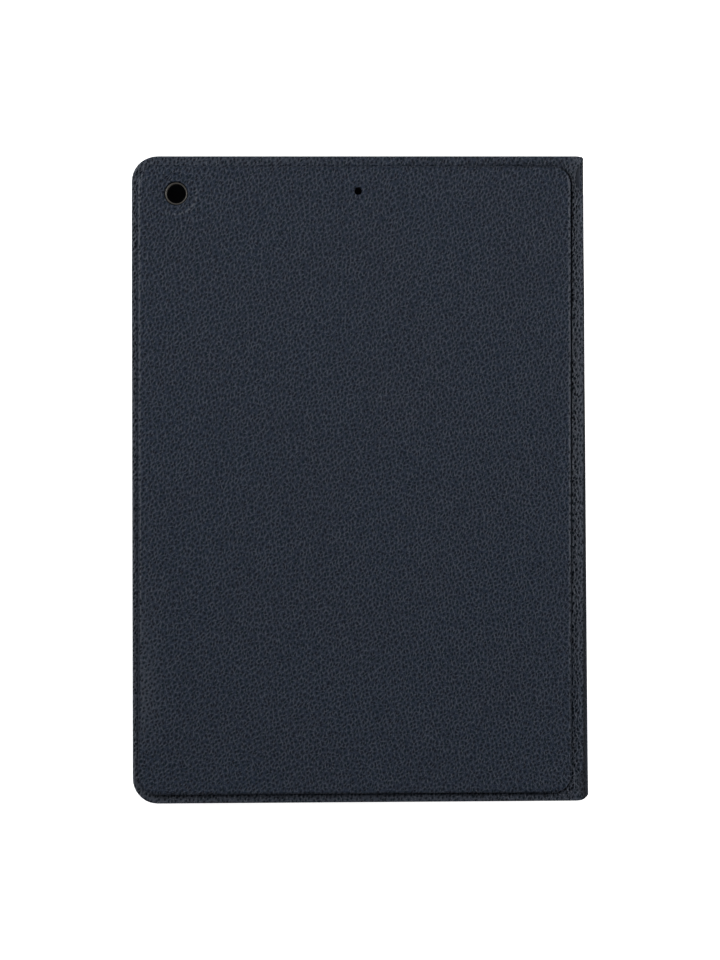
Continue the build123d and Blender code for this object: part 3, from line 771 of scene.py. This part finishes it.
S_EDGE = [(1.05, 0.0, 1.05), (0.78, 0.014, 0.76), (0.52, 0.055, 0.47), (0.30, 0.125, 0.2), (0.13, 0.225, -0.05), (0.03, 0.35, -0.28), (0.0, 0.50, -0.5), (0.0, 0.80, -0.95), (0.06, 0.93, -1.2), (0.25, 1.0, -1.45), (2.0, 1.0, -3.2), (4.2, 1.0, -5.4), (4.32, 0.985, -5.55), (4.38, 0.95, -5.65), (4.46, 0.915, -5.75), (4.7, 0.90, -6.0)]
dish_loops = [circle(DISH_C, r, 56) for r in (6.2, 6.8, 7.4, 7.6, 7.85, 8.1, 8.35, 8.6, 8.85, 9.6)]
mic_loops = [circle(MIC, r, 28) for r in (2.1, 2.8)]
sus = spread(STAND[0] + 7.5, STAND[1] - 7.5, 4.0)
svs = spread(STAND[2] + 7.3, STAND[3] - 7.5, 4.0)
flat_loop = [ring(*STAND, 1.38, 1.38, sus, svs, 9)]
stand_cam = {"c": EYE, "r": CAM_R, "n": 56, "profile": [(0.36, DISH_D / STHICK), (0.16, (DISH_D + 0.03) / STHICK), (0.04, (DISH_D + 0.12) / STHICK), (0.0, (DISH_D + 0.28) / STHICK), (0.0, 0.90)], "clear": 10.6}
stand_mic = {"c": MIC, "r": MIC_R, "n": 28, "profile": [(0.22, 0.012), (0.06, 0.07), (0.0, 0.18), (0.0, 0.90)], "clear": 3.8}
stand = sheet_mesh("stand_leather", STAND[:4], STAND[4:], S_EDGE, place_stand, holes=[stand_cam, stand_mic], top_fn=dish, top_loops=dish_loops + mic_loops + flat_loop,
                   step=4.0, material=M_LEATHER, lower=M_LINING)


def stand_painted_light(x, y, z):
    """Painted highlight on the shoulders of the two long edges, and on the far side of the dish's rim."""
    s = sd_rrect(x, y, *STAND)
    far_at = 0.52 + np.interp(x, (-80, 49), (0.28, 0.0))
    near_at = np.interp(x, (-113, -53, 0, 49, 89), (0.60, 0.76, 0.84, 1.18, 1.50))
    far = np.interp(x, (-113, -40, 0, 49, 89, 114), (1.25, 1.20, 1.05, 0.75, 0.42, 0.12)) * np.clip((y - 84.0) / 2.0, 0, 1)
    near = np.interp(x, (-113, -53, 0, 49, 89, 114), (1.30, 1.15, 1.00, 0.90, 0.50, 0.0)) * np.clip((-86.0 - y) / 1.5, 0, 1)
    line = far * np.exp(-((s + far_at) / 0.30) ** 2) + near * np.exp(-((s + near_at) / 0.28) ** 2)
    line = np.where(z > SZ1 - 0.9, line, 0) * (1 - 0.5 * np.clip((np.abs(x) - 122.0) / 4.0, 0, 1))
    arc = np.exp(-((np.hypot(x - DISH_C[0], y - DISH_C[1]) - DISH_R + 0.1) / 0.38) ** 2)
    return line + arc * np.clip(0.05 + 0.80 * ((x - DISH_C[0]) + (y - DISH_C[1])) / (1.414 * DISH_R), 0.0, 0.80)


# Painted shade on the stand leather: along its two ends, beside the fold on its spine side, and along the hinge-side
# edge.
def stand_painted_shade(x, y, z):
    s = sd_rrect(x, y, *STAND)
    end = np.where(x > 0, 0.30, 0.34 + 0.20 * np.clip((y - 20.0) / 50.0, 0, 1)) * np.exp(-((s + 0.25) / 0.4) ** 2) * np.clip((np.abs(x) - 124.0) / 2.0, 0, 1)
    side = 0.75 * np.exp(-(s / 0.24) ** 2) * np.clip((y - 80.0) / 3.0, 0, 1)
    hinge_side = 0.40 * np.exp(-((s + 0.50) / 0.32) ** 2) * np.clip((x - 0.0) / 60.0, 0, 1) * np.clip((-84.0 - y) / 2.0, 0, 1) * (z > SZ1 - 0.9)
    return np.maximum(np.maximum(end, side), hinge_side)


# painted highlight, then painted shade, on the stand leather
paint_light_and_shade(stand, stand_painted_light, "painted_light")
paint_light_and_shade(stand, stand_painted_shade)
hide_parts("stand_skin", "stand_lining")
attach(stand, "stand")

# hinge leather of the stand: from the rear border up onto the panel's edge
H_X = shi[0] - 9.0


def place_hinge(u, v, d):
    # v 0..1 along a smooth ramp
    pts = np.array([(-90.55, 21.00), (-90.0, 21.01), (-89.62, 21.06), (-89.42, 21.26), (-89.32, 21.58), (-89.26, 21.95)])
    t = np.clip(v / 2.4, 0, 1) * (len(pts) - 1)
    i = np.clip(t.astype(int), 0, len(pts) - 2)
    f = (t - i)[:, None]
    p = pts[i] * (1 - f) + pts[i + 1] * f
    dirv = pts[i + 1] - pts[i]
    nrm = np.stack([-dirv[:, 1], dirv[:, 0]], 1)
    nrm /= np.linalg.norm(nrm, axis=1)[:, None]
    q = p - nrm * d[:, None]
    return np.stack([u, q[:, 0], q[:, 1]], 1)


hinge = sheet_mesh("stand_hinge_leather", (-H_X, H_X, 0.0, 2.4), (0.5, 0.5), [(0.22, 0.0, 0.22), (0.06, 0.06, 0.05), (0.0, 0.18, -0.1), (0.0, 0.3, -0.2)], place_hinge, step=3.0, dense=[(0.5, 1.9, 0.2)], material=M_LEATHER)
# painted shade line along the stand's hinge
paint_light_and_shade(hinge, lambda x, y, z: 0.75 * np.exp(-((y + 89.5) / 0.30) ** 2))
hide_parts("stand_hinge_strip")
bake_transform(hinge)


# ------------------------------------------------------------------ camera rim: a turned ring
def lathe(name, c, prof, n, material):
    bm = bmesh.new()
    rows = []
    for r, z in prof:
        rows.append([bm.verts.new(((c[0] + r * math.cos(2 * math.pi * i / n)) * MM, (c[1] + r * math.sin(2 * math.pi * i / n)) * MM, z * MM)) for i in range(n)])
    k = len(rows)
    for a in range(k):
        b = (a + 1) % k
        for i in range(n):
            j = (i + 1) % n
            bm.faces.new((rows[a][i], rows[a][j], rows[b][j], rows[b][i]))
    bmesh.ops.recalc_face_normals(bm, faces=bm.faces)
    me = bpy.data.meshes.new(name)
    bm.to_mesh(me)
    bm.free()
    for p in me.polygons:
        p.use_smooth = True
    me.materials.append(material)
    o = bpy.data.objects.new(name, me)
    bpy.context.scene.collection.objects.link(o)
    return o


zr0, zr1 = rlo[2], rhi[2]
rim = lathe("camera_rim_ring", (EYE[0] + 0.06, EYE[1]), [(4.5, zr0), (4.5, zr1 - 0.40), (4.48, zr1 - 0.20), (4.42, zr1 - 0.05), (4.32, zr1), (4.16, zr1 - 0.03), (4.06, zr1 - 0.14), (4.00, zr1 - 0.5), (3.96, zr1 - 1.0), (3.94, zr1 - 1.3), (3.94, zr0)], 72, M_RIM)
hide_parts("camera_rim")
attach(rim, "rear_cover")


# ------------------------------------------------------------------ keycap legends
def key_boxes(node):
    """Centres and sizes of a node's keycaps, left to right, found from its separate shells."""
    me = N[node].data
    parent = list(range(len(me.vertices)))

    def find(a):
        while parent[a] != a:
            parent[a] = parent[parent[a]]
            a = parent[a]
        return a
    seen = {}
    for v in me.vertices:
        key = tuple(round(c * 1e6) for c in v.co)
        if key in seen:
            parent[find(v.index)] = find(seen[key])
        else:
            seen[key] = v.index
    for e in me.edges:
        a, b = find(e.vertices[0]), find(e.vertices[1])
        if a != b:
            parent[a] = b
    groups = {}
    for v in me.vertices:
        groups.setdefault(find(v.index), []).append(v.co)
    out = []
    for cs in groups.values():
        c = np.array([[p.x, p.y, p.z] for p in cs]) * 1000
        out.append((c.min(0), c.max(0)))
    out.sort(key=lambda b: b[0][0])
    return out


def legend(body, items):
    """items: (text, x, y, size, align). Flat printed letters, joined into one mesh that rides on the key."""
    objs = []
    for text, x, y, size, align in items:
        cu = bpy.data.curves.new("legend", "FONT")
        cu.body = text
        cu.size = size * MM
        cu.align_x = align
        cu.align_y = "CENTER"
        cu.extrude = 0.000008
        cu.resolution_u = 3
        o = bpy.data.objects.new("legend", cu)
        o.location = (x * MM, y * MM, (KEYTOP + 0.006) * MM)
        bpy.context.scene.collection.objects.link(o)
        objs.append(o)
    bpy.context.view_layer.update()
    bm = bmesh.new()
    for o in objs:
        me = bpy.data.meshes.new_from_object(o)
        me.transform(o.matrix_world)
        bm.from_mesh(me)
        bpy.data.meshes.remove(me)
        bpy.data.objects.remove(o)
    me = bpy.data.meshes.new(body + "_legend")
    bmesh.ops.remove_doubles(bm, verts=bm.verts, dist=1e-8)
    bm.to_mesh(me)
    bm.free()
    me.materials.append(M_LEGEND)
    o = bpy.data.objects.new(body + "_legend", me)
    bpy.context.scene.collection.objects.link(o)
    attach(o, body)
    return o


KEYTOP = mm("key_space")[1][2]
ROWS = {
    "keys_function_row": ["esc"] + ["F%d" % i for i in range(1, 13)] + ["del"],
    "keys_number_row": [("~", "`"), ("!", "1"), ("@", "2"), ("#", "3"), ("$", "4"), ("%", "5"), ("^", "6"), ("&", "7"), ("*", "8"), ("(", "9"), (")", "0"), ("_", "-"), ("+", "=")],
    "keys_top_letter_row": list("QWERTYUIOP") + [("{", "["), ("}", "]"), ("|", "\\")],
    "keys_home_letter_row": list("ASDFGHJKL") + [(":", ";"), ('"', "'")],
    "keys_bottom_letter_row": list("ZXCVBNM") + [("<", ","), (">", "."), ("?", "/")],
    "keys_left_modifiers": ["fn", "ctrl", "alt", "cmd"],
    "keys_right_modifiers": ["cmd", "alt"],
}
# the stand's board lies inside its leather, cut to the same outline
mags = key_boxes("stand_magnets")
bz0, bz1 = mm("stand_board")[0][2], mm("stand_board")[1][2]
board_holes = [{"c": ((a[0] + b[0]) / 2, (a[1] + b[1]) / 2), "r": (b[0] - a[0]) / 2 + 0.05, "n": 32, "profile": [(0.0, (SZ1 - bz1) / STHICK), (0.0, (SZ1 - bz0) / STHICK)], "clear": 5.0} for a, b in mags]
board_holes += [{"c": EYE, "r": CAM_R + 0.45, "n": 48, "profile": [(0.0, (SZ1 - bz1) / STHICK), (0.0, (SZ1 - bz0) / STHICK)], "clear": CAM_R + 1.4},
                {"c": MIC, "r": MIC_R + 0.45, "n": 24, "profile": [(0.0, (SZ1 - bz1) / STHICK), (0.0, (SZ1 - bz0) / STHICK)], "clear": MIC_R + 1.4}]


def place_board(u, v, d):
    a = math.radians(0.10)
    x = u * math.cos(a)
    y = v + u * math.sin(a) + 0.12
    return np.stack([skew_x(x, y), y, SZ1 - d * STHICK], 1)


board = sheet_mesh("stand_board_sheet", (STAND[0] + 0.7, STAND[1] - 0.7, STAND[2] + 0.7, STAND[3] - 0.7), (6.6, 6.8), [(0.0, (SZ1 - bz1) / STHICK, -99.0), (0.0, (SZ1 - bz0) / STHICK, -99.0)], place_board,
                   holes=board_holes, step=12.0, material=M_BOARD)
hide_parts("stand_board")
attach(board, "stand")

ONES = {"key_backspace": "delete", "key_tab": "tab", "key_caps_lock": "caps lock", "key_return": "return", "key_shift_left": "shift", "key_shift_right": "shift"}
for node, labels in ROWS.items():
    boxes = key_boxes(node)
    if len(boxes) != len(labels):
        raise RuntimeError("%s has %d keycaps" % (node, len(boxes)))
    items = []
    for (a, b), lab in zip(boxes, labels):
        cx, cy = (a[0] + b[0]) / 2, (a[1] + b[1]) / 2
        if isinstance(lab, tuple):
            items.append((lab[0], cx, cy + 2.7, 3.4, "CENTER"))
            items.append((lab[1], cx, cy - 2.6, 3.6, "CENTER"))
        elif node == "keys_function_row":
            items.append((lab, cx, cy, 2.7, "CENTER"))
        elif len(lab) == 1:
            items.append((lab, cx, cy, 5.0, "CENTER"))
        else:
            items.append((lab, cx, cy - 3.4, 2.7, "CENTER"))
    legend(node, items)
for node, lab in ONES.items():
    a, b = mm(node)
    left = node in ("key_tab", "key_caps_lock", "key_shift_left")
    items = [(lab, a[0] + 2.2 if left else b[0] - 2.2, a[1] + 3.0, 2.7, "LEFT" if left else "RIGHT")]
    legend(node, items)


def arrow(node, direction):
    a, b = mm(node)
    cx, cy = (a[0] + b[0]) / 2, (a[1] + b[1]) / 2
    r = 1.05
    bm = bmesh.new()
    ang = {"right": 0, "up": 90, "left": 180, "down": 270}[direction]
    lowv, highv = [], []
    for k, rr in ((0, r), (125, r * 0.95), (235, r * 0.95)):
        t = math.radians(ang + k)
        for z, store in ((KEYTOP - 0.002, lowv), (KEYTOP + 0.014, highv)):
            store.append(bm.verts.new(((cx + rr * math.cos(t)) * MM, (cy + rr * math.sin(t)) * MM, z * MM)))
    bm.faces.new(highv)
    bm.faces.new(lowv[::-1])
    for i in range(3):
        j = (i + 1) % 3
        bm.faces.new((lowv[i], lowv[j], highv[j], highv[i]))
    bmesh.ops.recalc_face_normals(bm, faces=bm.faces)
    me = bpy.data.meshes.new(node + "_legend")
    bm.to_mesh(me)
    bm.free()
    me.materials.append(M_LEGEND)
    o = bpy.data.objects.new(node + "_legend", me)
    bpy.context.scene.collection.objects.link(o)
    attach(o, node)


for d in ("left", "up", "down", "right"):
    arrow("key_arrow_" + d, d)

# ------------------------------------------------------------------ stage, light, camera
floor_m, ft, fb = nodes_of("floor")
fb.inputs["Base Color"].default_value = (0.86, 0.86, 0.86, 1)
fb.inputs["Roughness"].default_value = 0.9
fb.inputs["Specular IOR Level"].default_value = 0.1
fb.inputs["Emission Color"].default_value = (1, 1, 1, 1)
fb.inputs["Emission Strength"].default_value = 0.93
bm = bmesh.new()
bmesh.ops.create_grid(bm, x_segments=1, y_segments=1, size=12.0)
me = bpy.data.meshes.new("floor")
bm.to_mesh(me)
bm.free()
me.materials.append(floor_m)
floor = bpy.data.objects.new("floor", me)
floor.location.z = -0.0002
bpy.context.scene.collection.objects.link(floor)
floor.visible_glossy = False

world = bpy.data.worlds.new("studio")
bpy.context.scene.world = world
world.use_nodes = True
wt = world.node_tree
wg = G(wt)
wco = wg.n("ShaderNodeTexCoord").outputs["Generated"]
wz = wg.n("ShaderNodeSeparateXYZ")
wg.link(wco, wz.inputs[0])
wup = wg.ramp(wz.outputs["Z"], 0.04, 0.42, 1.0, 0.035)
wdown = wg.ramp(wz.outputs["Z"], -0.20, -0.05, 0.02, 1.0)
wt.links.new(wg.math("MULTIPLY", wup, wdown), wt.nodes["Background"].inputs["Strength"])
wt.nodes["Background"].inputs["Color"].default_value = (1.0, 1.0, 1.0, 1)


def softbox(name, loc, size, power, target=(0, 0, 0.01)):
    l = bpy.data.lights.new(name, "AREA")
    l.shape = "RECTANGLE"
    l.size, l.size_y = size
    l.energy = power
    o = bpy.data.objects.new(name, l)
    o.location = loc
    o.rotation_euler = (Vector(target) - Vector(loc)).to_track_quat("-Z", "Y").to_euler()
    bpy.context.scene.collection.objects.link(o)
    return o


softbox("left", (-0.50, -0.90, 0.48), (0.60, 0.34), 10.5)
softbox("right", (-0.12, 0.97, 0.40), (0.60, 0.30), 8.8)
softbox("head", (-0.75, 0.0, 0.95), (0.8, 0.5), 0.6)

cam_d = bpy.data.cameras.new("camera")
cam_d.lens = 120.0
cam_d.sensor_width = 36.0
cam_d.clip_start = 0.05
cam_d.clip_end = 20.0
cam = bpy.data.objects.new("camera", cam_d)
SCALE = 2.465
DIST = cam_d.lens / (SCALE * 36.0 / 960.0)
cam.location = (0.25 * MM, 0.68 * MM, (SZ1 + DIST) * MM)
cam.rotation_euler = (0, 0, math.pi / 2)
bpy.context.scene.collection.objects.link(cam)
bpy.context.scene.camera = cam
vs = bpy.context.scene.view_settings
vs.view_transform = "Standard"
vs.look = "None"
vs.exposure = 0.0
vs.gamma = 1.0
